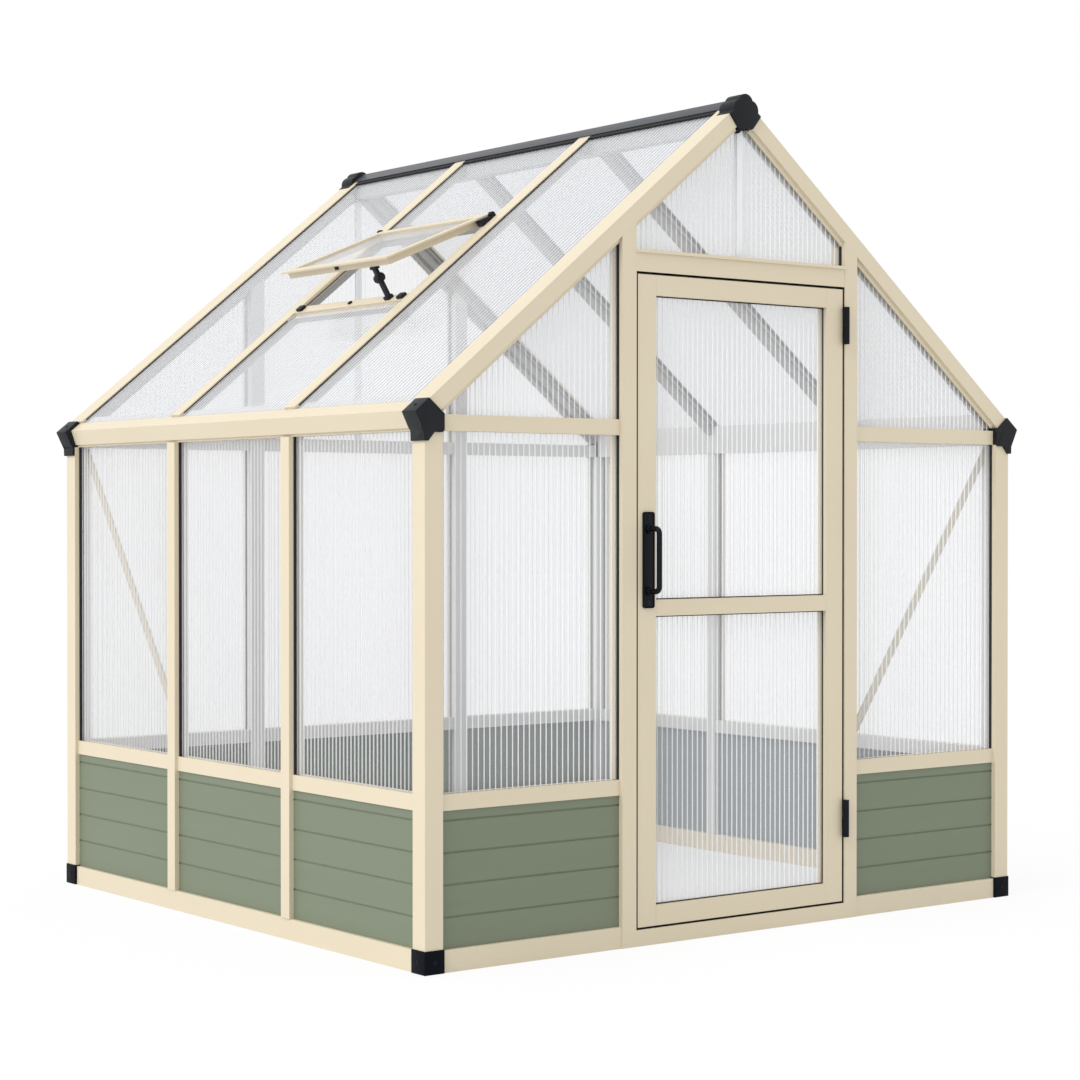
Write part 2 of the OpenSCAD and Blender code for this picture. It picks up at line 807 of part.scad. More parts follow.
module vent_sheet() {
    inner = sash_inset + sash_wall;
    color(clear) sash_frame() block([inner, sash_y0 + inner, -8], [sash_l - inner, sash_y1 - inner, -2]);
}

// Stay from a foot on the sill up to a bracket under the sash's free rail, with a clamp knob
module vent_stay() {
    bar_w = 16;
    bar_t = 9;
    knob_r = 12;
    knob_l = 24;
    bracket_h = 8;
    head_y = 22;
    foot = [vent_s1 + vent_sill_w / 2, 0, -1];
    head_u = sash_l - sash_inset - sash_wall / 2;
    head_v = -2 - sash_depth - bracket_h;
    head = [
        vent_axis_s + head_u * cos(vent_angle) - head_v * sin(vent_angle), head_y,
        vent_axis_w + head_u * sin(vent_angle) + head_v * cos(vent_angle)
    ];
    span = norm(head - foot);
    lean = atan2(head[0] - foot[0], head[2] - foot[2]);
    color(black) {
        left_slope() translate([0, stay_y, 0]) {
            translate(foot) rotate([-asin(head_y / span), lean, 0]) {
                translate([-bar_t / 2, -bar_w / 2, 5]) cube([bar_t, bar_w, span - 3]);
                translate([0, 0, span * 0.7]) rotate([90, 0, 0])
                    cylinder(r = knob_r, h = knob_l, center = true);
            }
            translate(foot) block([-9, -12, fit], [9, 12, 9]);
        }
        sash_frame() translate([head_u, stay_y + head_y, -2 - sash_depth])
            block([-8, -12, -bracket_h], [8, 12, -fit]);
    }
}

// Pads on the sill that the closed sash rests on, and the stop under the middle of its free rail
module vent_catches() {
    pad_l = 20;
    pad_h = 8;
    mid_w = 12;
    mid_h = 5;
    stop_w = 14;
    stop_h = 12;
    stop_d = 5;
    middle = (sash_y0 + sash_y1) / 2;
    sill_s = vent_s1 + vent_sill_w / 2;
    color(black) {
        left_slope() {
            for (y = [sash_y0, sash_y1 - catch_w]) translate([sill_s, y, -1])
                block([-pad_l / 2, 0, fit], [pad_l / 2, catch_w, pad_h]);
            translate([sill_s, middle, -1])
                block([-pad_l / 4, -mid_w / 2, fit], [pad_l / 4, mid_w / 2, mid_h]);
        }
        sash_frame() translate([sash_l - sash_inset, middle, -2])
            block([0, -stop_w / 2, -stop_h], [stop_d, stop_w / 2, 0]);
    }
}

// ---- Door ----

// Strips behind the leaf's edges that close the gap round it
module door_seals() {
    strip = 12;
    d0 = leaf_in + door_t + 5.5;
    d1 = post_back - 1;
    butt = 0.5;
    color(black) front_wall() {
        left_and_right() block([jamb_x - strip, d0, threshold_h], [jamb_x, d1, doorway_h]);
        block([butt + strip - jamb_x, d0, doorway_h - strip], [jamb_x - strip - butt, d1, doorway_h]);
        block([butt + strip - jamb_x, d0, threshold_h], [jamb_x - strip - butt, d1, threshold_h + strip]);
    }
}

// Section of a hollow leaf member: its width from 0 and its depth, with a groove in each grooved side
module leaf_section(width, low_side, high_side) {
    low = wall + (low_side ? groove_d : 0);
    high = wall + (high_side ? groove_d : 0);
    difference() {
        translate([0, leaf_in]) square([width, door_t]);
        translate([low, leaf_in + wall]) square([width - low - high, door_t - 2 * wall]);
        if (low_side) translate([-eps, door_sheet_in]) square([groove_d + eps, sheet_t]);
        if (high_side) translate([width - groove_d, door_sheet_in]) square([groove_d + eps, sheet_t]);
    }
}

// Rail of the leaf on z, between the stiles
module leaf_rail(z, height, under, over) {
    x = leaf_x - stile_w - leaf_joint;
    along_wall(-x, x) translate([0, z]) mirror([1, -1]) leaf_section(height, under, over);
}

module door_frame() {
    color(cream) front_wall() {
        left_and_right() translate([leaf_x - stile_w, 0, leaf_z0]) linear_extrude(leaf_z1 - leaf_z0)
            leaf_section(stile_w, true, false);
        leaf_rail(leaf_z0, door_rail_h, false, true);
        leaf_rail(door_mid_z, door_mid_h, true, true);
        leaf_rail(leaf_z1 - door_rail_h, door_rail_h, true, false);
    }
}

module door_sheets() {
    x = leaf_x - stile_w + lap;
    color(clear) front_wall() {
        block([-x, door_sheet_in, leaf_z0 + door_rail_h - lap],
              [x, door_sheet_in + sheet_t, door_mid_z + lap]);
        block([-x, door_sheet_in, door_mid_z + door_mid_h - lap],
              [x, door_sheet_in + sheet_t, leaf_z1 - door_rail_h + lap]);
    }
}

// Lower half of each hinge, on the jamb, with the pin that the upper half turns on
module frame_hinges() {
    plate_t = 2;
    color(black) front_wall() for (z = hinge_zs) translate([hinge_x, hinge_depth, z]) {
        cylinder(r = barrel_r, h = hinge_h / 2);
        cylinder(r = pin_r, h = hinge_h - 4);
        block([door_gap / 2 - plate_t, 0, 0], [door_gap / 2, post_back - 20 - hinge_depth, hinge_h / 2]);
    }
}

// Upper half of each hinge, on the leaf
module door_hinges() {
    plate_t = 2;
    lift = 0.4;
    color(black) front_wall() for (z = hinge_zs) translate([hinge_x, hinge_depth, z + hinge_h / 2 + lift]) {
        height = hinge_h / 2 - lift;
        difference() {
            union() {
                cylinder(r = barrel_r, h = height);
                block([-door_gap / 2, 0, 0], [plate_t - door_gap / 2, post_back - 20 - hinge_depth, height]);
            }
            translate([0, 0, -eps]) cylinder(r = pin_r + pin_gap, h = height - 3 + eps);
        }
    }
}

// Pull handle: a grip with rounded corners standing off a back plate
module door_handle() {
    plate_w = 35;
    plate_t = 4;
    grip_w = 12;
    grip_t = 12;
    corner = 14;
    half = handle_grip_h / 2;
    inner = handle_reach - grip_t;
    color(black) front_wall() translate([handle_x, leaf_in, handle_z]) {
        block([-plate_w / 2, -plate_t, -handle_plate_h / 2], [plate_w / 2, 0, handle_plate_h / 2]);
        translate([-grip_w / 2, 0, 0]) rotate([90, 0, 90]) linear_extrude(grip_w) difference() {
            union() {
                translate([corner - handle_reach, -half]) square([handle_reach - corner - plate_t, 2 * half]);
                translate([-handle_reach, corner - half]) square([corner, 2 * (half - corner)]);
                for (z = [corner - half, half - corner]) translate([corner - handle_reach, z]) circle(r = corner);
            }
            translate([-inner, grip_t - half]) square([inner - plate_t + eps, 2 * (half - grip_t)]);
        }
    }
}

// ---- Assembly ----

foot_caps();
corner_posts();
base_rails();
door_threshold();
side_mullions();
back_mullions();
door_jambs();
door_header();
side_mid_rails();
gable_mid_rails();
gable_cross_rails();
eaves_beams();
eaves_knuckles();
gable_rafters();
roof_bars();
ridge_beam();
ridge_cap();
ridge_seals();
ridge_end_caps();
left_boards();
right_boards();
front_boards();
back_boards();
left_wall_sheets();
right_wall_sheets();
front_wall_sheets();
back_wall_sheets();
front_gable_sheets();
back_gable_sheets();
gable_joint_strips();
left_roof_sheets();
right_roof_sheets();
wall_braces();
vent_curb();
vent_hinges();
vent_sash();
vent_sheet();
vent_stay();
vent_catches();
door_seals();
frame_hinges();
door_frame();
door_sheets();
door_hinges();
door_handle();
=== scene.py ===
import json
from math import pi, radians

import bpy
from mathutils import Matrix, Vector

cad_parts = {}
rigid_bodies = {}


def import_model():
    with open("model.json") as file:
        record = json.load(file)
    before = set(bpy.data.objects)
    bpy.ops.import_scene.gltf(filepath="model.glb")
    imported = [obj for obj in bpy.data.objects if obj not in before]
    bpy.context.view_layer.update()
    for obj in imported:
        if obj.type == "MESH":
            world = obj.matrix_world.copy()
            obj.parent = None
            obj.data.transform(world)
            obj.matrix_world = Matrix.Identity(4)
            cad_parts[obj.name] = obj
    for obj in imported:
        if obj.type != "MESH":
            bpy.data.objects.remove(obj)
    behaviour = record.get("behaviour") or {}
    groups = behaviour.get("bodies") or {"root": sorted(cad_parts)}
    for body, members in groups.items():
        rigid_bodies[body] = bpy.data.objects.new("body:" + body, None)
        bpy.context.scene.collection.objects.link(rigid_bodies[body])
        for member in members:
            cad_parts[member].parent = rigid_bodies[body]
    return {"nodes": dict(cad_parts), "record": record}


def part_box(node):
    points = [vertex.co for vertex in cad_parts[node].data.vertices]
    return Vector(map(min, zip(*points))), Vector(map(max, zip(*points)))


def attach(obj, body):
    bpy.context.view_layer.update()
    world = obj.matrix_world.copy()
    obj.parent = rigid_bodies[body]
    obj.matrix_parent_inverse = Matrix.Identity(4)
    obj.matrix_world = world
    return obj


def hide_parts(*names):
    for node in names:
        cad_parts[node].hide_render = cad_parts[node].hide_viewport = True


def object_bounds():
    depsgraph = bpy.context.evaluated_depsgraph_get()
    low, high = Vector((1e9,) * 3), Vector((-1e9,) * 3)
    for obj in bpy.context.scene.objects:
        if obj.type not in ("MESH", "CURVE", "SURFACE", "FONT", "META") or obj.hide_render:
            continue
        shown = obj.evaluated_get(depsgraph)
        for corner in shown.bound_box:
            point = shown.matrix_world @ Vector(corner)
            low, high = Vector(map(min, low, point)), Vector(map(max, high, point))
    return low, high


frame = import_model()
cad_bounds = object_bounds()
nodes = frame["nodes"]
scene = bpy.context.scene

# ---- Sizes, in metres ----

# Twin-wall sheets: the distance between two webs, their thickness, their share of the sheet's
# depth, and how far their outer edges stand out of the outer skin
FLUTE_PITCH = 0.0163
WEB_T = 0.0008
WEB_DEPTH = 0.6
RIB_PROUD = 0.0001
# How much longer than the sheet the webs are before they are cut to its outline
WEB_OVERRUN = 0.02
# Braces: how far each long edge moves up or down, and the width and depth of their folded edge
BRACE_SPREAD = 0.007
BRACE_FOLD_W = 0.0045
BRACE_FOLD_DEPTH = 0.001
# Screw heads: how far they stand out, and their radius in the frame and in the handle's plate
SCREW_RISE = 0.0012
FRAME_SCREW_R = 0.0045
HANDLE_SCREW_R = 0.0048
# The rim round their socket as a share of the radius, the socket's depth and their edges' rounding
SOCKET_SHARE = 0.5
SOCKET_DEPTH = 0.00144
SCREW_EDGE = 0.0006
# Width of a foot cap
FOOT_W = 0.056
# The door handle: its plate's thickness, corners and edges, and where the screws are
PLATE_T = 0.004
PLATE_CORNER = 0.006
PLATE_EDGE = 0.0009
SCREW_FROM_END = 0.014
# Its grip's radius, bend and half height, and how far off the plate it starts
GRIP_R = 0.0068
GRIP_BEND = 0.012
GRIP_HALF = 0.076
GRIP_GAP = 0.001
# The collars at the grip's two ends: radius, height, middle's distance from the plate and edges
COLLAR_R = 0.0105
COLLAR_H = 0.009
COLLAR_OUT = 0.004
COLLAR_EDGE = 0.002
# Edges of the knuckles: the width of their rounding, how long an edge is that gets it, how short a
# neighbour keeps it sharp, and how much the surface turns at it
KNUCKLE_ROUND = 0.0015
KNUCKLE_LONG_EDGE = 0.006
KNUCKLE_STEP = 0.003
KNUCKLE_SHARP = radians(20)
# How far the sheets enter the frame's grooves, or lie under the flanges of roof bars and rafters
GROOVE_LAP = 0.008
BAR_LAP = 0.010
RAFTER_LAP = 0.016
# The roof's two ends, and how near to one a sheet's side lies under a rafter
ROOF_ENDS = (cad_bounds[0].y, cad_bounds[1].y)
GABLE_REACH = 0.1
# Glazing strips, which are seals and also painted shade of the frame's grooves: the width that
# shows beside the frame and that lies under it, and how far they stand out of the sheets of the
# walls, and of the door and roof
STRIP_SHOWN = 0.0028
STRIP_HIDDEN = 0.004
WALL_STRIP_RISE = 0.0075
LOW_STRIP_RISE = 0.003
# Closer than this to the middle of a gable, where two of its sheets meet, there is no strip
JOINT_HALF = 0.03
# Strips on the roof, seals that also paint the bars' shadow lines: their width, their distance from
# the flange, and how far below the sheet's upper end and above its lower end they stop
ROOF_STRIP_W = 0.0024
ROOF_STRIP_OFF = 0.0008
ROOF_STRIP_TOP = 0.03
ROOF_STRIP_FOOT = 0.012
# Rounding of all strips' edges
STRIP_EDGE = 0.0008
# Sealing tape on the edges of door and doorway, which also paints the shade in the gap round the
# door: its thickness, the depths from the wall's outer plane between which it lies on the doorway,
# and how far back it reaches on the door's leaf
TAPE_T = 0.0002
TAPE_FRONT = 0.004
TAPE_BACK = 0.036
LEAF_TAPE = 0.012
# Depths from the walls' outer planes: of the profiles' inner half, and of the boards' middle
INNER_DEPTH = 0.027
BOARD_MIDDLE = 0.020
# How far under the roof sheets the painted shade starts
UNDER_ROOF = 0.0005
# Points of a copied part that lie closer than this are one, and small angles that count as flat
WELD = 0.00002
FLAT = radians(0.5)
# Edges that turn by more than this are rounded, and those that turn by less are shaded smooth
SHARP = radians(35)

# ---- Camera, lamps and floor ----

# Where the camera stands, the degrees it looks from +Y towards +X and up, and its lens and sensor
CAMERA_AT = (-4.1293, -5.4534, 1.0440)
CAMERA_YAW = 37.289
CAMERA_TILT = -0.551
CAMERA_LENS = 81.66
SENSOR_W = 36

# How brightly the surroundings light the house, where 1 is the white that the camera sees
SKY_LEVEL = 0.88
# The soft key lamp stands high on the left, in front
KEY_FROM = (-0.72, -0.05, 0.64)
KEY_STRENGTH = 1.6
KEY_ANGLE = 40
FLOOR_SIZE = 60
FLOOR_BELOW = 0.001
# Shades of the floor outside and inside the house, and how much plain white is laid over each;
# the darker floor and thinner white inside are painted shade
FLOOR_OUTSIDE = (0.86, 0.86, 0.86)
SHADED_FLOOR_INSIDE = (0.62, 0.62, 0.62)
WHITE_OUTSIDE = 0.9
WHITE_OVER_SHADED_FLOOR = 0.38


class Value:
    """A socket of a node tree that Python's operators work on."""

    def __init__(self, socket):
        self.socket = socket
        self.tree = socket.id_data

    def node(self, kind, settings=None, inputs=None, output=0):
        """A new node of the tree: its settings first, then the values or links of its sockets."""
        made = self.tree.nodes.new(kind)
        for name, value in (settings or {}).items():
            setattr(made, name, value)
        for name, value in (inputs or {}).items():
            if isinstance(value, Value):
                self.tree.links.new(value.socket, made.inputs[name])
            else:
                made.inputs[name].default_value = value
        return Value(made.outputs[output])

    def math(self, operation, *values):
        return self.node("ShaderNodeMath", {"operation": operation}, dict(enumerate(values)))

    def __add__(self, other):
        return self.math("ADD", self, other)

    def __radd__(self, other):
        return self.math("ADD", other, self)

    def __sub__(self, other):
        return self.math("SUBTRACT", self, other)

    def __rsub__(self, other):
        return self.math("SUBTRACT", other, self)

    def __mul__(self, other):
        return self.math("MULTIPLY", self, other)

    def __rmul__(self, other):
        return self.math("MULTIPLY", other, self)

    def absolute(self):
        return self.math("ABSOLUTE", self)

    def less_than(self, limit):
        """1 where this value is under the limit, and 0 elsewhere."""
        return self.math("LESS_THAN", self, limit)

    def either(self, other):
        """The larger of two values."""
        return self.math("MAXIMUM", self, other)

    def more_than(self, limit):
        """1 where this value is over the limit, and 0 elsewhere."""
        return self.math("GREATER_THAN", self, limit)

    def stretched(self, x, y, z):
        """This vector, scaled along each axis."""
        return self.node("ShaderNodeVectorMath", {"operation": "MULTIPLY"}, {0: self, 1: (x, y, z)})

    def noise(self, scale, detail=2.0, roughness=0.5):
        """Noise from 0 to 1 over this place, with that many lumps in a metre."""
        sockets = {"Vector": self, "Scale": scale, "Detail": detail, "Roughness": roughness}
        return self.node("ShaderNodeTexNoise", {"normalize": True}, sockets)

    def part(self, axis):
        """One component of this vector: 0, 1 or 2."""
        return self.node("ShaderNodeSeparateXYZ", None, {0: self}, output=axis)

    def between(self, low, high):
        """A colour between two colour sockets, where this value runs from 0 to 1."""
        sockets = {0: self, 6: low, 7: high}
        return self.node("ShaderNodeMix", {"data_type": "RGBA"}, sockets, output=2)

    def blend(self, low, high):
        """A colour between two, where this value runs from 0 to 1."""
        sockets = {0: self, 6: (*low, 1), 7: (*high, 1)}
        return self.node("ShaderNodeMix", {"data_type": "RGBA"}, sockets, output=2)

    def bump(self, height, strength=1.0):
        """Normals of a surface whose height is this value, times a height in metres."""
        sockets = {"Height": self, "Distance": height, "Strength": strength}
        return self.node("ShaderNodeBump", None, sockets)


def linear(red, green, blue):
    """A colour given as 0 to 255 in the usual display scale, as the linear one that shaders use."""
    shares = (red / 255, green / 255, blue / 255)
    return tuple(c / 12.92 if c < 0.04045 else ((c + 0.055) / 1.055) ** 2.4 for c in shares)


def finish(name, make, **constants):
    """A Principled material. make takes the place on a piece and returns the sockets that vary."""
    made = bpy.data.materials.new(name)
    made.use_nodes = True
    tree = made.node_tree
    shader = tree.nodes["Principled BSDF"]
    for socket, value in constants.items():
        shader.inputs[socket.replace("_", " ")].default_value = value
    place = Value(tree.nodes.new("ShaderNodeTexCoord").outputs["Object"])
    for socket, value in make(place).items():
        tree.links.new(value.socket, shader.inputs[socket])
    return made


# ---- Finishes ----

CREAM = (linear(213, 200, 174), linear(218, 206, 181))
# Greys painted on the profiles' inner halves and under the roof: painted shade of the room
INNER_SHADE_GREY = (linear(197, 197, 195), linear(205, 205, 203))
UNDER_ROOF_SHADE_GREY = (linear(160, 160, 158), linear(170, 170, 168))
RUBBER = (linear(20, 20, 21), linear(34, 34, 35))


def coat_surface(place, colour):
    """The sockets of a powder coat: fine orange peel, hardly any change of shade."""
    return {
        "Base Color": colour,
        "Roughness": 0.36 + 0.10 * place.noise(60),
        "Normal": place.noise(420, 2).bump(0.00012, 0.5),
    }


def cream(place):
    """The cream colour, which hardly changes over a piece."""
    return place.noise(3, 3).blend(*CREAM)


def powder_coat(place):
    """Cream powder coat."""
    return coat_surface(place, cream(place))


def behind_walls(place, depth, axes=(0, 1)):
    """1 where this place lies deeper than that behind the walls' outer planes, and 0 elsewhere."""
    low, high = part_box("corner_posts")
    middle = (low + high) / 2
    half = (high - low) / 2
    inside = 1
    for axis in axes:
        away = (place.part(axis) - middle[axis]).absolute()
        inside = away.less_than(half[axis] - depth) * inside
    return inside


def wall_profile(place):
    """Cream powder coat outside, and a grey on the half that faces the room: painted shade of the
    dimmer room.
    """
    coat = cream(place)
    shaded_grey = place.noise(8, 3).blend(*INNER_SHADE_GREY)
    return coat_surface(place, behind_walls(place, INNER_DEPTH).between(coat, shaded_grey))


def roof_profile(place):
    """Cream powder coat outside, and a darker grey on what lies under the roof sheets: painted
    shade.
    """
    plate = max(nodes["left_roof_sheets"].data.polygons, key=lambda face: face.area)
    out = Vector((abs(plate.normal.x), 0, abs(plate.normal.z)))
    corners = [v.co for v in nodes["left_roof_sheets"].data.vertices]
    plane = min(abs(corner.x) * out.x + corner.z * out.z for corner in corners)
    height = out.x * place.part(0).absolute() + out.z * place.part(2)
    under = height.less_than(plane - UNDER_ROOF) * behind_walls(place, INNER_DEPTH, (1,))
    coat = cream(place)
    shaded_grey = place.noise(8, 3).blend(*UNDER_ROOF_SHADE_GREY)
    return coat_surface(place, under.between(coat, shaded_grey))


def boards(shaded_inner_low, shaded_inner_high):
    """Sage paint on extruded boards, with a faint grain along them, and another colour on the inner
    faces: painted shade and bluish light of the room.
    """
    def board_paint(place):
        grain = place.stretched(3, 3, 260).noise(1, 3, 0.6)
        patch = place.stretched(1, 1, 13).noise(2.2, 2)
        shade = 0.55 * grain + 0.45 * patch
        outer = shade.blend(linear(110, 119, 98), linear(119, 129, 107))
        painted_inner_shade = shade.blend(shaded_inner_low, shaded_inner_high)
        return {
            "Base Color": behind_walls(place, BOARD_MIDDLE).between(outer, painted_inner_shade),
            "Roughness": 0.42 + 0.16 * grain,
            "Normal": grain.bump(0.00025, 0.6),
        }
    return board_paint


def coat_with_tape_and_gap_shade(place, tape_and_gap_shade):
    """Cream powder coat, black where the mask is 1: sealing tape and painted shade of the door's
    gap.
    """
    return coat_surface(place, tape_and_gap_shade.between(cream(place), place.noise(40, 4).blend(*RUBBER)))


def leaf_profile(place):
    """Cream powder coat, black round the front of the door's edges: sealing tape and painted gap
    shade.
    """
    low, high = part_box("door_frame")
    height = place.part(2)
    edge = place.part(0).absolute().more_than(high.x - TAPE_T)
    edge = edge.either(height.more_than(high.z - TAPE_T)).either(height.less_than(low.z + TAPE_T))
    return coat_with_tape_and_gap_shade(place, edge * place.part(1).less_than(low.y + LEAF_TAPE))


def doorway_profile(place):
    """Cream powder coat, black where the closed door's edges meet: sealing tape and painted gap
    shade.
    """
    inner_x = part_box("door_threshold")[1].x
    low_z, high_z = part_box("door_threshold")[1].z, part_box("door_header")[0].z
    beside = place.part(0).absolute().less_than(inner_x + TAPE_T)
    height = place.part(2)
    reveal = beside * height.more_than(low_z - TAPE_T) * height.less_than(high_z + TAPE_T)
    front, back = (behind_walls(place, depth, (1,)) for depth in (TAPE_FRONT, TAPE_BACK))
    return coat_with_tape_and_gap_shade(place, front * (1 - back) * reveal)


def moulded_black(place):
    """Blue-black moulded plastic with a fine spark texture."""
    spark = place.noise(900, 2)
    return {
        "Base Color": place.noise(14).blend(linear(6, 11, 18), linear(9, 14, 23)),
        "Roughness": 0.42 + 0.14 * place.noise(120),
        "Normal": spark.bump(0.00015, 0.6),
    }


def slate_cap(place):
    """Satin slate-grey cap with faint drawing lines along it."""
    lines = place.stretched(500, 2, 500).noise(1, 2)
    return {
        "Base Color": lines.blend(linear(50, 54, 60), linear(60, 64, 70)),
        "Roughness": 0.34 + 0.12 * lines,
        "Normal": lines.bump(0.0001, 0.4),
    }


def rubber(place):
    """Soft black rubber, dull and slightly dusty."""
    dust = place.noise(40, 4)
    return {
        "Base Color": dust.blend(*RUBBER),
        "Roughness": 0.70 + 0.2 * dust,
        "Normal": place.noise(700).bump(0.0001, 0.5),
    }


def plastic(dull, bright, roughness=(0.10, 0.12), lumps=5):
    """Clear or milky plastic, from a duller to a brighter grey and from glossy to less so."""
    def plastic_skin(place):
        haze = place.noise(lumps, 2)
        return {
            "Base Color": haze.blend(linear(*dull), linear(*bright)),
            "Roughness": roughness[0] + roughness[1] * haze,
        }
    return plastic_skin


# Polycarbonate skins: of the side walls, milkier ones of the end walls and door, greyer ones of the
# roof. The webs between two skins look whiter than these, and joint strips are white.
CLEAR_SKIN = plastic((200, 202, 207), (208, 210, 215))
HAZY_SKIN = plastic((222, 225, 230), (230, 233, 238))
ROOF_SKIN = plastic((180, 182, 188), (188, 190, 196))
CLEAR_WEB = plastic((248, 249, 252), (252, 253, 254), (0.25, 0.2))
OPAL_STRIP = plastic((240, 242, 246), (250, 251, 253), (0.22, 0.15), lumps=9)


def ribbed_roof_skin(place):
    """Outer skin of the roof, with pale lines down the slope, as far apart as its flutes."""
    haze = place.noise(5, 2)
    turn = place.part(1) * (2 * pi / FLUTE_PITCH)
    wave = 0.5 + 0.5 * turn.math("SINE", turn)
    return {
        "Base Color": wave.blend(linear(152, 154, 160), linear(236, 238, 242)),
        "Roughness": 0.10 + 0.12 * haze,
    }


def strap_metal(place):
    """Beige coated strap, a little darker than the frame."""
    beige = place.noise(3, 3).blend(linear(186, 176, 156), linear(192, 182, 162))
    return coat_surface(place, beige)


FRAME_PAINT = finish("frame_paint", powder_coat)
WALL_PAINT = finish("wall_frame_paint", wall_profile)
ROOF_PAINT = finish("roof_frame_paint", roof_profile)
# Inner faces of the end boards: a darker green, painted shade of the room
END_BOARD_PAINT = finish("end_board_paint", boards(linear(52, 71, 44), linear(60, 79, 52)))
# Inner faces of the side boards: a bluish grey, painted bluish light of the room
SIDE_BOARD_PAINT = finish("side_board_paint", boards(linear(112, 121, 124), linear(120, 129, 132)))
CONNECTOR = finish("connector", moulded_black, Specular_IOR_Level=0.28)
# The foot caps get less gloss than the other black parts, so they look darker: painted shade near
# the ground
FOOT = finish("foot_plastic", moulded_black, Specular_IOR_Level=0.07)
HANDLE = finish("handle_plastic", moulded_black, Specular_IOR_Level=0.16)
CAP = finish("cap_plastic", slate_cap)
SEAL = finish("seal", rubber)
# Each sheet has an outer skin, an inner skin and webs. The inner skin is the denser one, except on
# the vent's slope, where the lines on the outer skin have to show.
SIDE_SHEET = (
    finish("side_sheet_outer_skin", CLEAR_SKIN, Alpha=0.04),
    finish("side_sheet_inner_skin", CLEAR_SKIN, Alpha=0.15),
    finish("side_sheet_web", CLEAR_WEB, Alpha=0.50),
)
END_SHEET = (
    finish("end_sheet_outer_skin", HAZY_SKIN, Alpha=0.06),
    finish("end_sheet_inner_skin", HAZY_SKIN, Alpha=0.25),
    finish("end_sheet_web", CLEAR_WEB, Alpha=0.50),
)
ROOF_SHEET = (
    finish("roof_sheet_outer_skin", ribbed_roof_skin, Alpha=0.50),
    finish("roof_sheet_inner_skin", ROOF_SKIN, Alpha=0.10),
    finish("roof_sheet_web", CLEAR_WEB, Alpha=0.10),
)
# The same sheets with fainter webs, for the sides where two sets of flutes would make a weave
FAINT_SIDE_SHEET = (*SIDE_SHEET[:2], finish("side_sheet_faint_web", CLEAR_WEB, Alpha=0.25))
FAINT_END_SHEET = (*END_SHEET[:2], finish("end_sheet_faint_web", CLEAR_WEB, Alpha=0.25))
FAINT_ROOF_SHEET = (
    finish("faint_roof_sheet_outer_skin", ROOF_SKIN, Alpha=0.08),
    finish("faint_roof_sheet_inner_skin", ROOF_SKIN, Alpha=0.34),
    finish("roof_sheet_faint_web", CLEAR_WEB, Alpha=0.05),
)
STRIP = finish("joint_strip", OPAL_STRIP, Alpha=0.85)
LEAF_PAINT = finish("door_frame_paint", leaf_profile)
DOORWAY_PAINT = finish("doorway_paint", doorway_profile)
STRAP = finish("brace_paint", strap_metal)

FINISH_OF_SLOT = {
    "frame_paint": FRAME_PAINT,
    "board_paint": END_BOARD_PAINT,
    "connector": CONNECTOR,
    "cap_plastic": CAP,
    "seal": SEAL,
    "sheet": STRIP,
}
# Nodes whose finish isn't that of their slot
FINISH_OF_NODE = {
    "corner_posts": WALL_PAINT,
    "side_mullions": WALL_PAINT,
    "back_mullions": WALL_PAINT,
    "side_mid_rails": WALL_PAINT,
    "gable_mid_rails": WALL_PAINT,
    "gable_cross_rails": WALL_PAINT,
    "eaves_beams": WALL_PAINT,
    "gable_rafters": ROOF_PAINT,
    "roof_bars": ROOF_PAINT,
    "ridge_beam": ROOF_PAINT,
    "vent_curb": ROOF_PAINT,
    "door_frame": LEAF_PAINT,
    "door_jambs": DOORWAY_PAINT,
    "door_header": DOORWAY_PAINT,
    "door_threshold": DOORWAY_PAINT,
    "foot_caps": FOOT,
    "door_handle": HANDLE,
    "door_hinges": HANDLE,
    "frame_hinges": HANDLE,
    "wall_braces": STRAP,
    "left_boards": SIDE_BOARD_PAINT,
    "right_boards": SIDE_BOARD_PAINT,
}
SLOT_OF_NODE = {part["node"]: part["material_slot"] for part in frame["record"]["subparts"]}


def paint_cad_nodes():
    """Every CAD node gets its own finish or the finish of its material slot."""
    for node, slot in SLOT_OF_NODE.items():
        paint(nodes[node], FINISH_OF_NODE.get(node, FINISH_OF_SLOT[slot]))


# ---- Modelling helpers ----


def select(*pieces):
    """Selects these objects only. The first is the active one."""
    bpy.ops.object.select_all(action="DESELECT")
    for piece in pieces:
        piece.select_set(True)
    bpy.context.view_layer.objects.active = pieces[0]


def extent(mesh):
    """Lowest and highest corners of a mesh."""
    places = [v.co for v in mesh.vertices]
    return [Vector(pick(p[i] for p in places) for i in range(3)) for pick in (min, max)]


def apply_modifier(piece, kind, **settings):
    """Adds a modifier and applies it."""
    modifier = piece.modifiers.new(kind, kind)
    for name, value in settings.items():
        setattr(modifier, name, value)
    select(piece)
    bpy.ops.object.modifier_apply(modifier=modifier.name)


def merged_copy(node, name):
    """A copy of a CAD node's object whose loose triangles are joined into closed faces."""
    piece = nodes[node].copy()
    piece.data = nodes[node].data.copy()
    piece.name = name
    piece.parent = None
    for key in list(piece.keys()):
        del piece[key]
    scene.collection.objects.link(piece)
    select(piece)
    bpy.ops.object.mode_set(mode="EDIT")
    bpy.ops.mesh.select_all(action="SELECT")
    bpy.ops.mesh.remove_doubles(threshold=WELD)
    bpy.ops.mesh.dissolve_limited(angle_limit=FLAT)
    bpy.ops.object.mode_set(mode="OBJECT")
    return piece


def paint(piece, finish_of_piece):
    """Gives a piece this finish all over."""
    piece.data.materials.clear()
    piece.data.materials.append(finish_of_piece)


def in_place_of(node, piece, body):
    """Puts a piece in place of a CAD node, on that body."""
    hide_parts(node)
    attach(piece, body)
    return piece


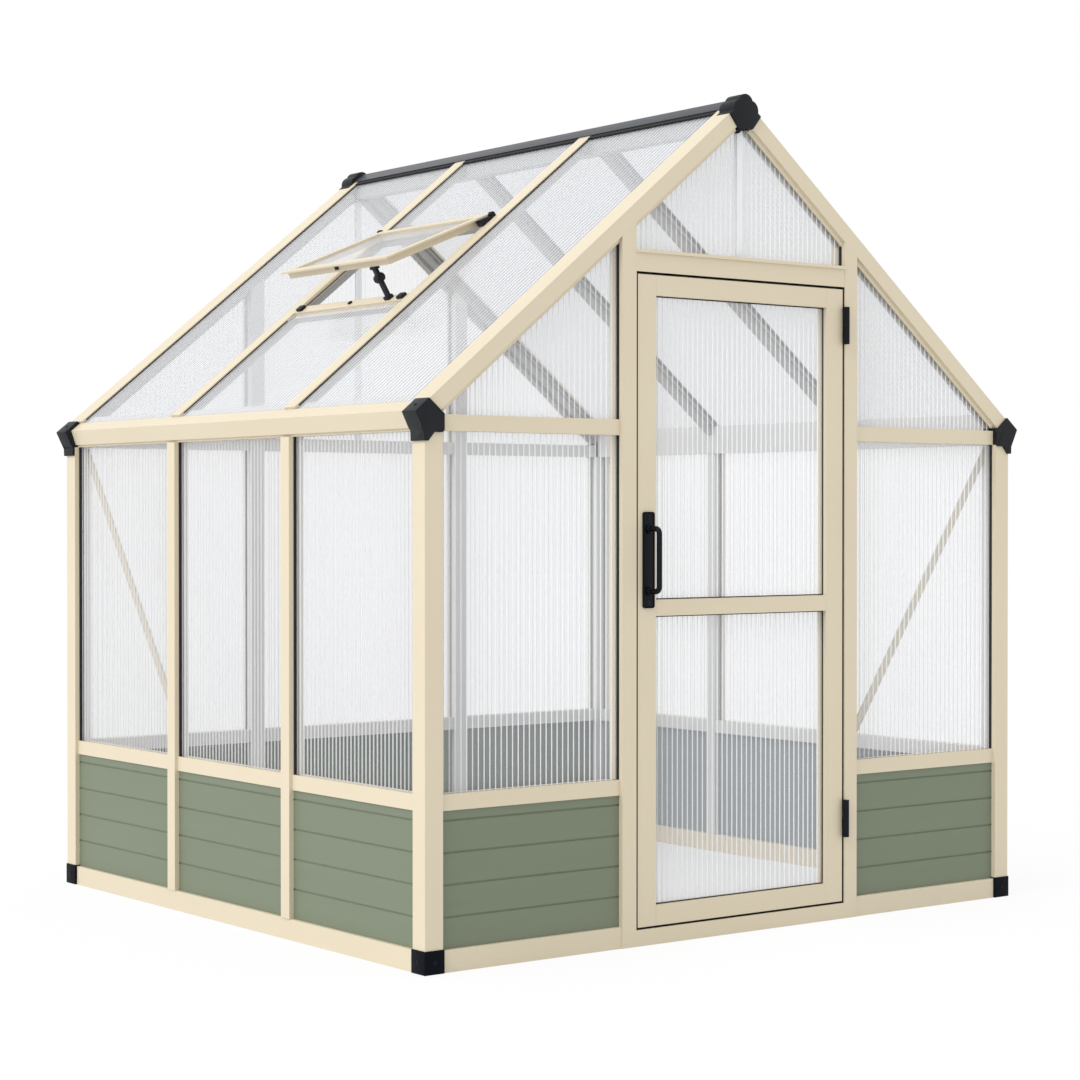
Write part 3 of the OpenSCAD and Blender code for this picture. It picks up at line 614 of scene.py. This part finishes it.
def apply_place(piece):
    """Moves a new primitive's place, turn and size into its mesh."""
    select(piece)
    bpy.ops.object.transform_apply(location=True, rotation=True, scale=True)
    return piece


def box_piece(middle, size):
    """A box with its middle at that place."""
    bpy.ops.object.select_all(action="DESELECT")
    bpy.ops.mesh.primitive_cube_add(size=1, location=middle, scale=size)
    return apply_place(bpy.context.object)


def round_edges(piece, width, segments, **settings):
    """Rounds a piece's sharp edges."""
    apply_modifier(piece, "BEVEL", width=width, segments=segments, limit_method="ANGLE", **settings)


def smooth(piece):
    """Smooth shading, except across sharp edges."""
    select(piece)
    bpy.ops.object.shade_smooth_by_angle(angle=SHARP)


def loose_parts(piece):
    """Splits an object into its loose parts, and returns them with the object itself first."""
    before = set(scene.objects)
    select(piece)
    bpy.ops.object.mode_set(mode="EDIT")
    bpy.ops.mesh.select_all(action="SELECT")
    bpy.ops.mesh.separate(type="LOOSE")
    bpy.ops.object.mode_set(mode="OBJECT")
    return [piece] + [part for part in scene.objects if part not in before]


# ---- Twin-wall sheets ----


def sheet_axes(node):
    """The axes of a flat sheet: x across its flutes, y up along them and z out of its face."""
    face = max(nodes[node].data.polygons, key=lambda face: face.area)
    out = face.normal.copy()
    if out.dot(face.center - (cad_bounds[0] + cad_bounds[1]) / 2) < 0:
        out.negate()
    up = (Vector((0, 0, 1)) - out * out.z).normalized()
    return Matrix((up.cross(out), up, out)).transposed().to_4x4()


def webs_of(plate, web):
    """The webs of a twin-wall sheet in its closed plate, running along the plate's y.

    They hang from the outer skin, and reach through it as fine ribs.
    """
    low, high = extent(plate.data)
    size = high - low
    count = round(size.x / FLUTE_PITCH)
    pitch = size.x / count
    depth = WEB_DEPTH * size.z
    webs = box_piece(
        (low.x + pitch / 2, (low.y + high.y) / 2, high.z - depth / 2),
        (WEB_T, size.y + WEB_OVERRUN, depth),
    )
    apply_modifier(
        webs, "ARRAY", count=count, use_relative_offset=False,
        use_constant_offset=True, constant_offset_displace=(pitch, 0, 0),
    )
    apply_modifier(webs, "BOOLEAN", operation="INTERSECT", solver="EXACT", object=plate)
    webs.data.transform(Matrix.Translation((0, 0, RIB_PROUD)))
    paint(webs, web)
    return webs


def strip_along(start, end, width, low, high):
    """A rubber strip between two places in a sheet's own axes, from low to high out of its face."""
    along = end - start
    turned = Matrix.Rotation(along.angle_signed(Vector((1, 0))), 4, "Z")
    middle = Vector(((start.x + end.x) / 2, (start.y + end.y) / 2, (low + high) / 2))
    strip = box_piece((0, 0, 0), (along.length, width, high - low))
    strip.data.transform(Matrix.Translation(middle) @ turned)
    return strip


def crossings(sides):
    """The corners where an outline's sides meet. Each side is a place on it and its direction."""
    corners = []
    for i in range(len(sides)):
        (p, u), (q, v) = sides[i - 1], sides[i]
        corners.append(p + u * ((q - p).cross(v) / u.cross(v)))
    return corners


def shrunk(corners, lap):
    """A convex outline, listed anticlockwise, whose sides have all moved inward by lap."""
    count = len(corners)
    sides = []
    for i in range(count):
        along = (corners[(i + 1) % count] - corners[i]).normalized()
        sides.append((corners[i] + lap * Vector((-along.y, along.x)), along))
    return crossings(sides)


def outline(plate):
    """Corners of a plate's outer face, anticlockwise, without the small notches at its corners."""
    mesh = plate.data
    top = max(v.co.z for v in mesh.vertices)
    faces = [f for f in mesh.polygons if f.normal.z > 0.9 and abs(f.center.z - top) < 0.0005]
    face = max(faces, key=lambda f: f.area)
    corners = [mesh.vertices[i].co.to_2d() for i in face.vertices]
    sides = []
    for i, corner in enumerate(corners):
        along = corners[(i + 1) % len(corners)] - corner
        if along.length > 3 * GROOVE_LAP:
            sides.append((corner, along.normalized()))
    return crossings(sides)


def glazing_and_shade_strips(plates, name, axes, body):
    """Rubber strips that run up the sides of the plates' openings, or all round those of the door.

    They stand out of the plates' faces, and part of their width lies hidden under the frame.
    Besides glazing seals, they are painted shade: dark lines for the shade in the frame's grooves.
    """
    all_round = body == "door"
    rise = LOW_STRIP_RISE if all_round else WALL_STRIP_RISE
    width = STRIP_HIDDEN + STRIP_SHOWN
    strips = []
    for plate in plates:
        top = extent(plate.data)[1].z
        edge = shrunk(outline(plate), GROOVE_LAP - (STRIP_HIDDEN - STRIP_SHOWN) / 2)
        for i, corner in enumerate(edge):
            following = edge[(i + 1) % len(edge)]
            along = (following - corner).normalized()
            at_joint = abs((axes @ Vector((*corner, top))).x) < JOINT_HALF
            upright = abs(along.x) <= 0.01
            if not all_round and (at_joint or not upright):
                continue
            reach = along * width / 2
            strips.append(strip_along(corner - reach, following + reach, width, top, top + rise))
    return joined(strips, name, axes, body)


def roof_glazing_and_shade_strips(plates, name, axes):
    """Rubber strips down the slope beside the bars' and rafters' flanges, which also paint their
    shadow.
    """
    strips = []
    for plate in plates:
        low, high = extent(plate.data)
        for x, inward in ((low.x, 1), (high.x, -1)):
            y = (axes @ Vector((x, low.y, high.z))).y
            at_gable = min(abs(y - wall) for wall in ROOF_ENDS) < GABLE_REACH
            middle = x + inward * ((RAFTER_LAP if at_gable else BAR_LAP) + ROOF_STRIP_OFF)
            start = Vector((middle, low.y + ROOF_STRIP_FOOT))
            end = Vector((middle, high.y - ROOF_STRIP_TOP))
            top = high.z + LOW_STRIP_RISE
            strips.append(strip_along(start, end, ROOF_STRIP_W, high.z, top))
    return joined(strips, name, axes, "greenhouse")


def joined(strips, name, axes, body):
    """One rubber piece made of strips in a sheet's own axes, with softened edges."""
    select(*strips)
    bpy.ops.object.join()
    piece = bpy.context.object
    piece.name = name
    round_edges(piece, STRIP_EDGE, 2)
    paint(piece, SEAL)
    piece.data.transform(axes)
    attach(piece, body)
    return piece


def fluted_sheets(node, body, finishes):
    """Twin-wall sheets, two skins with webs between them, in place of a CAD node's plain plates."""
    outer_skin, inner_skin, web = finishes
    axes = sheet_axes(node)
    piece = merged_copy(node, node + "_fluted")
    mesh = piece.data
    mesh.transform(axes.inverted())
    mesh.materials.clear()
    mesh.materials.append(outer_skin)
    mesh.materials.append(inner_skin)
    for face in mesh.polygons:
        face.material_index = 1 if face.normal.z < -0.9 else 0
    plates = loose_parts(piece)
    if finishes == ROOF_SHEET:
        if node != "vent_sheet":
            roof_glazing_and_shade_strips(plates, node + "_strips", axes)
    else:
        glazing_and_shade_strips(plates, node + "_strips", axes, body)
    webs = [webs_of(plate, web) for plate in plates]
    select(*plates, *webs)
    bpy.ops.object.join()
    mesh.transform(axes)
    # Clear sheets take hardly any light away from what stands behind them
    piece.visible_shadow = False
    piece.visible_diffuse = False
    return in_place_of(node, piece, body)


# ---- Moulded parts, braces and screws ----


def softened(node, body, width):
    """A part with rounded edges, in place of a CAD node."""
    piece = merged_copy(node, node + "_moulded")
    round_edges(piece, width, 3, angle_limit=SHARP, use_clamp_overlap=False)
    smooth(piece)
    return in_place_of(node, piece, body)


def rounded_knuckles():
    """The eaves knuckles, with rounds on the long edges of their facets that meet no small step."""
    node = "eaves_knuckles"
    piece = merged_copy(node, node + "_moulded")
    mesh = piece.data
    bpy.ops.object.mode_set(mode="EDIT")
    bpy.ops.mesh.select_mode(type="EDGE")
    bpy.ops.mesh.select_all(action="DESELECT")
    bpy.ops.mesh.edges_select_sharp(sharpness=KNUCKLE_SHARP)
    bpy.ops.object.mode_set(mode="OBJECT")
    lengths = []
    for edge in mesh.edges:
        start, end = (mesh.vertices[i].co for i in edge.vertices)
        lengths.append((start - end).length)
    measured = list(zip(mesh.edges, lengths))
    at_steps = {i for edge, length in measured if length < KNUCKLE_STEP for i in edge.vertices}
    for edge, length in measured:
        if length < KNUCKLE_LONG_EDGE or at_steps & set(edge.vertices):
            edge.select = False
    # Faces and corners that stay selected would select their edges again
    for part in (*mesh.polygons, *mesh.vertices):
        part.select = False
    bpy.ops.object.mode_set(mode="EDIT")
    bpy.ops.mesh.bevel(offset=KNUCKLE_ROUND, segments=3, affect="EDGES", clamp_overlap=True)
    bpy.ops.object.mode_set(mode="OBJECT")
    smooth(piece)
    return in_place_of(node, piece, "greenhouse")


def folded_braces():
    """Flat braces with both long edges folded up, in place of the CAD node's plain bars."""
    node = "wall_braces"
    piece = merged_copy(node, node + "_folded")
    bars = loose_parts(piece)
    for bar in bars:
        low, high = extent(bar.data)
        # A brace is flat against a side wall, across x, or against a gable wall, across y
        flat = 0 if high.x - low.x < high.y - low.y else 1
        run = 1 - flat
        # The upper and lower long edges move apart
        for end in (low[run], high[run]):
            corners = [v for v in bar.data.vertices if abs(v.co[run] - end) < 0.001]
            middle = sum(v.co.z for v in corners) / len(corners)
            for corner in corners:
                corner.co.z += BRACE_SPREAD if corner.co.z > middle else -BRACE_SPREAD
        select(bar)
        bpy.ops.object.mode_set(mode="EDIT")
        bpy.ops.mesh.select_all(action="DESELECT")
        bpy.ops.object.mode_set(mode="OBJECT")
        for face in bar.data.polygons:
            face.select = abs(face.normal[flat]) > 0.9
        bpy.ops.object.mode_set(mode="EDIT")
        bpy.ops.mesh.inset(thickness=BRACE_FOLD_W, depth=-BRACE_FOLD_DEPTH, use_individual=True)
        bpy.ops.object.mode_set(mode="OBJECT")
    select(*bars)
    bpy.ops.object.join()
    return in_place_of(node, piece, "greenhouse")


def extrude_by(offset):
    """Extrudes the selected faces of the mesh in edit mode."""
    bpy.ops.mesh.extrude_region_move(TRANSFORM_OT_translate={"value": offset})


def screw_heads(name, places, out, radius, body):
    """Round screw heads with a socket, on a face that points in the direction out."""
    heads = []
    for place in places:
        bpy.ops.object.select_all(action="DESELECT")
        bpy.ops.mesh.primitive_cylinder_add(vertices=24, radius=radius, depth=2 * SCREW_RISE)
        head = bpy.context.object
        for face in head.data.polygons:
            face.select = face.normal.z > 0.9
        bpy.ops.object.mode_set(mode="EDIT")
        bpy.ops.mesh.select_mode(type="FACE")
        bpy.ops.mesh.inset(thickness=SOCKET_SHARE * radius)
        extrude_by((0, 0, -SOCKET_DEPTH))
        bpy.ops.object.mode_set(mode="OBJECT")
        turned = Vector(out).to_track_quat("Z", "Y").to_matrix().to_4x4()
        head.data.transform(Matrix.Translation(place) @ turned)
        heads.append(head)
    select(*heads)
    bpy.ops.object.join()
    piece = bpy.context.object
    piece.name = name
    round_edges(piece, SCREW_EDGE, 2)
    smooth(piece)
    paint(piece, CONNECTOR)
    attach(piece, body)
    return piece


def handle_plate(low, high):
    """The handle's back plate, between those corners, with round corners and softened edges."""
    plate = box_piece((low + high) / 2, high - low)
    for edge in plate.data.edges:
        start, end = (plate.data.vertices[i].co for i in edge.vertices)
        edge.select = abs(start.y - end.y) > PLATE_T / 2
    bpy.ops.object.mode_set(mode="EDIT")
    bpy.ops.mesh.select_mode(type="EDGE")
    bpy.ops.mesh.bevel(offset=PLATE_CORNER, segments=6, affect="EDGES")
    bpy.ops.object.mode_set(mode="OBJECT")
    round_edges(plate, PLATE_EDGE, 2, angle_limit=SHARP)
    return plate


def handle_grip(x, face, middle_z, bend):
    """The round grip. It starts as a disc at the plate's face and goes out, down and back in."""
    top, foot = middle_z + GRIP_HALF, middle_z - GRIP_HALF
    start = face + GRIP_GAP
    bpy.ops.object.select_all(action="DESELECT")
    bpy.ops.mesh.primitive_circle_add(
        vertices=20, radius=GRIP_R, fill_type="NGON",
        location=(x, start, top), rotation=(radians(90), 0, 0),
    )
    grip = apply_place(bpy.context.object)
    turn = {"steps": 8, "angle": radians(-90), "axis": (1, 0, 0)}
    bpy.ops.object.mode_set(mode="EDIT")
    bpy.ops.mesh.select_all(action="SELECT")
    extrude_by((0, bend - start, 0))
    bpy.ops.mesh.spin(center=(x, bend, top - GRIP_BEND), **turn)
    extrude_by((0, 0, -2 * (GRIP_HALF - GRIP_BEND)))
    bpy.ops.mesh.spin(center=(x, bend, foot + GRIP_BEND), **turn)
    extrude_by((0, start - bend, 0))
    bpy.ops.mesh.select_all(action="SELECT")
    bpy.ops.mesh.remove_doubles(threshold=WELD)
    bpy.ops.mesh.normals_make_consistent(inside=False)
    bpy.ops.object.mode_set(mode="OBJECT")
    return grip


def handle_collar(place):
    """A collar where the grip meets the plate."""
    bpy.ops.object.select_all(action="DESELECT")
    bpy.ops.mesh.primitive_cylinder_add(
        vertices=32, radius=COLLAR_R, depth=COLLAR_H, location=place, rotation=(radians(90), 0, 0),
    )
    collar = apply_place(bpy.context.object)
    round_edges(collar, COLLAR_EDGE, 3, angle_limit=SHARP)
    return collar


def pull_handle():
    """A round grip on two collars and a back plate, in place of the CAD node's square one."""
    node = "door_handle"
    low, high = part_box(node)
    face = high.y - PLATE_T
    middle = (low + high) / 2
    plate = handle_plate(Vector((low.x, face, low.z)), high)
    grip = handle_grip(middle.x, face, middle.z, low.y + GRIP_R + GRIP_BEND)
    ends = (middle.z + GRIP_HALF, middle.z - GRIP_HALF)
    collars = [handle_collar((middle.x, face - COLLAR_OUT, z)) for z in ends]
    select(plate, grip, *collars)
    bpy.ops.object.join()
    plate.name = node + "_moulded"
    smooth(plate)
    paint(plate, HANDLE)
    in_place_of(node, plate, "door")

    heights = (low.z + SCREW_FROM_END, high.z - SCREW_FROM_END)
    places = [(middle.x, face, z) for z in heights]
    screw_heads("handle_screws", places, (0, -1, 0), HANDLE_SCREW_R, "door")


def knuckle_screws():
    """A screw in the middle of each knuckle's upper facet, which lies along the roof."""
    mesh = nodes["eaves_knuckles"].data
    low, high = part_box("eaves_knuckles")
    # The faces of one knuckle's upper facet
    facet = [
        face for face in mesh.polygons
        if face.normal.x < -0.3 and face.normal.z > 0.3 and abs(face.normal.y) < 0.1
        and face.center.x < 0 and face.center.y < low.y + 0.1
    ]
    corners = [mesh.vertices[i].co for face in facet for i in face.vertices]
    spot = Vector([(min(row) + max(row)) / 2 for row in zip(*corners)])
    for number, side in enumerate((1, -1)):
        places = [(side * spot.x, y, spot.z) for y in (spot.y, low.y + high.y - spot.y)]
        out = (side * facet[0].normal.x, 0, facet[0].normal.z)
        screw_heads(f"knuckle_screws_{number}", places, out, FRAME_SCREW_R, "greenhouse")


def foot_screws():
    """A screw on each outer face of the four foot caps."""
    low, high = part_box("foot_caps")
    across = FOOT_W / 2
    z = (low.z + high.z) / 2
    rows = {
        (-1, 0, 0): [(low.x, low.y + across, z), (low.x, high.y - across, z)],
        (1, 0, 0): [(high.x, low.y + across, z), (high.x, high.y - across, z)],
        (0, -1, 0): [(low.x + across, low.y, z), (high.x - across, low.y, z)],
        (0, 1, 0): [(low.x + across, high.y, z), (high.x - across, high.y, z)],
    }
    for number, (out, places) in enumerate(rows.items()):
        screw_heads(f"foot_screws_{number}", places, out, FRAME_SCREW_R, "greenhouse")


# ---- Stage ----


def add_camera():
    data = bpy.data.cameras.new("camera")
    data.lens = CAMERA_LENS
    data.sensor_width = SENSOR_W
    camera = bpy.data.objects.new("camera", data)
    camera.location = CAMERA_AT
    camera.rotation_euler = (radians(90 + CAMERA_TILT), 0, radians(-CAMERA_YAW))
    scene.collection.objects.link(camera)
    scene.camera = camera


def seen_directly(tree):
    """1 for rays from the camera, from gloss and through glass, and 0 for those that give light."""
    path = tree.nodes.new("ShaderNodeLightPath")
    seen = Value(path.outputs["Is Camera Ray"])
    for ray in ("Is Glossy Ray", "Is Transmission Ray"):
        seen = seen.either(Value(path.outputs[ray]))
    return seen


def add_surroundings():
    world = bpy.data.worlds.new("studio")
    world.use_nodes = True
    scene.world = world
    tree = world.node_tree
    background = tree.nodes["Background"]
    background.inputs["Color"].default_value = (1, 1, 1, 1)
    level = SKY_LEVEL + (1 - SKY_LEVEL) * seen_directly(tree)
    tree.links.new(level.socket, background.inputs["Strength"])


def add_key_lamp():
    data = bpy.data.lights.new("key", "SUN")
    data.energy = KEY_STRENGTH
    data.angle = radians(KEY_ANGLE)
    lamp = bpy.data.objects.new("key", data)
    lamp.rotation_euler = Vector(KEY_FROM).to_track_quat("Z", "Y").to_euler()
    scene.collection.objects.link(lamp)


def floor_finish():
    """White floor that keeps a trace of the house's shadow where it is seen, with painted shade
    inside the house.
    """
    made = bpy.data.materials.new("floor")
    made.use_nodes = True
    tree = made.node_tree
    tree.nodes.remove(tree.nodes["Principled BSDF"])
    seen = seen_directly(tree)
    place = Value(tree.nodes.new("ShaderNodeTexCoord").outputs["Object"])
    inside = behind_walls(place, INNER_DEPTH)
    # The floor inside the house is darker, with less white over it: painted shade
    shade = inside.blend(FLOOR_OUTSIDE, SHADED_FLOOR_INSIDE)
    lit = seen.node("ShaderNodeBsdfDiffuse", None, {"Color": shade})
    white = seen.node("ShaderNodeEmission", None, {"Color": (1, 1, 1, 1), "Strength": 1.0})
    share = seen * (WHITE_OUTSIDE - (WHITE_OUTSIDE - WHITE_OVER_SHADED_FLOOR) * inside)
    both = seen.node("ShaderNodeMixShader", None, {0: share, 1: lit, 2: white})
    tree.links.new(both.socket, tree.nodes["Material Output"].inputs["Surface"])
    return made


def add_floor():
    bpy.ops.object.select_all(action="DESELECT")
    bpy.ops.mesh.primitive_plane_add(size=FLOOR_SIZE, location=(0, 0, -FLOOR_BELOW))
    floor = bpy.context.object
    floor.name = "floor"
    floor.data.materials.append(floor_finish())


# ---- The greenhouse ----

add_camera()
add_surroundings()
add_key_lamp()
add_floor()
paint_cad_nodes()

# Parts whose edges are rounded, each with the width of the rounding
MOULDED = {
    "foot_caps": 0.002,
    "ridge_end_caps": 0.002,
    "ridge_cap": 0.001,
    "vent_stay": 0.0008,
    "vent_catches": 0.0015,
}

SHEETS = {
    "left_wall_sheets": SIDE_SHEET,
    "right_wall_sheets": FAINT_SIDE_SHEET,
    "front_wall_sheets": END_SHEET,
    "back_wall_sheets": FAINT_END_SHEET,
    "front_gable_sheets": END_SHEET,
    "back_gable_sheets": FAINT_END_SHEET,
    "left_roof_sheets": ROOF_SHEET,
    "right_roof_sheets": FAINT_ROOF_SHEET,
    "vent_sheet": ROOF_SHEET,
    "door_sheets": END_SHEET,
}
for sheet_node, sheet_finishes in SHEETS.items():
    sheet_body = "door" if sheet_node == "door_sheets" else "greenhouse"
    fluted_sheets(sheet_node, sheet_body, sheet_finishes)

folded_braces()
for moulded_node, edge in MOULDED.items():
    softened(moulded_node, "greenhouse", edge)
rounded_knuckles()
pull_handle()
foot_screws()
knuckle_screws()

scene.view_settings.view_transform = "Standard"
scene.cycles.transparent_max_bounces = 64
scene.cycles.max_bounces = 5
scene.cycles.diffuse_bounces = 2
scene.cycles.glossy_bounces = 2
